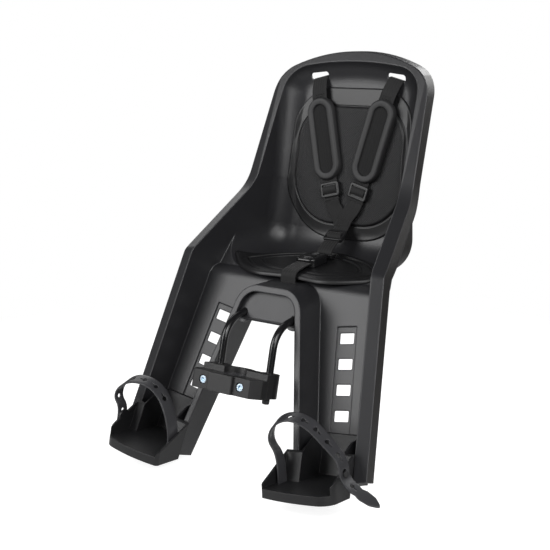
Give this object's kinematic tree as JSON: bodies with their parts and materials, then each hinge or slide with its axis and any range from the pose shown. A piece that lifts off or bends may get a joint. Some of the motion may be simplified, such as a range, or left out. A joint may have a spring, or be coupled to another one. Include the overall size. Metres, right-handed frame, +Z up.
{
  "type": "front-mounted child bike seat",
  "caption": "Moulded child seat for the front of a bike: bucket shell with padded seat, harness and sliding footrests, on a steel fork that drops into a stem clamp.",
  "frame": {"origin": "centre of the stem bore in the clamp", "axes": "+Z up, -Y towards the front of the bike, which is the way the child faces, +X to the right as seen from the front"},
  "size_m": [0.4485, 0.3708, 0.5633],
  "materials": {
    "shell": "fine grain",
    "pad": "embossed foam",
    "webbing": "woven",
    "gloss": "gloss",
    "steel": "gloss black",
    "clamp": "satin",
    "zinc": "blue zinc",
    "rubber": "matt"
  },
  "bodies": {
    "clamp": {"clamp_front": "clamp", "clamp_rear": "clamp", "clamp_liner": "rubber", "clamp_bolts": "zinc", "clamp_nuts": "zinc"},
    "seat": {"seat_shell": "shell", "back_pad": "pad", "seat_pad": "pad", "shoulder_strap_right": "webbing", "shoulder_strap_left": "webbing", "shoulder_pad_right": "pad", "shoulder_pad_left": "pad", "slider_right": "gloss", "slider_left": "gloss", "centre_strap": "webbing", "slider_centre": "gloss", "buckle_tongue": "gloss", "buckle_body": "gloss", "crotch_strap": "webbing", "crotch_anchor": "gloss", "harness_anchors": "gloss", "fork": "steel", "fork_tips": "rubber", "fork_cover": "shell", "cover_screws": "zinc"},
    "button": {"buckle_button": "gloss"},
    "right_footrest": {"footrest_right": "shell", "foot_strap_right": "rubber"},
    "left_footrest": {"footrest_left": "shell", "foot_strap_left": "rubber"}
  },
  "joints": [
    {"name": "seat_lift", "type": "slide", "parent": "clamp", "child": "seat", "axis": [0, 0.2351, 0.972], "range_m": [0, 0.034]},
    {"name": "release_press", "type": "slide", "parent": "seat", "child": "button", "axis": [0, 0.0872, -0.9962], "range_m": [0, 0.002], "stiffness_N_per_m": 600},
    {"name": "right_foot_slide", "type": "slide", "parent": "seat", "child": "right_footrest", "axis": [-0.1736, 0.3737, 0.9112], "range_m": [0, 0.1038]},
    {"name": "left_foot_slide", "type": "slide", "parent": "seat", "child": "left_footrest", "axis": [0.1736, 0.3737, 0.9112], "range_m": [0, 0.1038]}
  ]
}
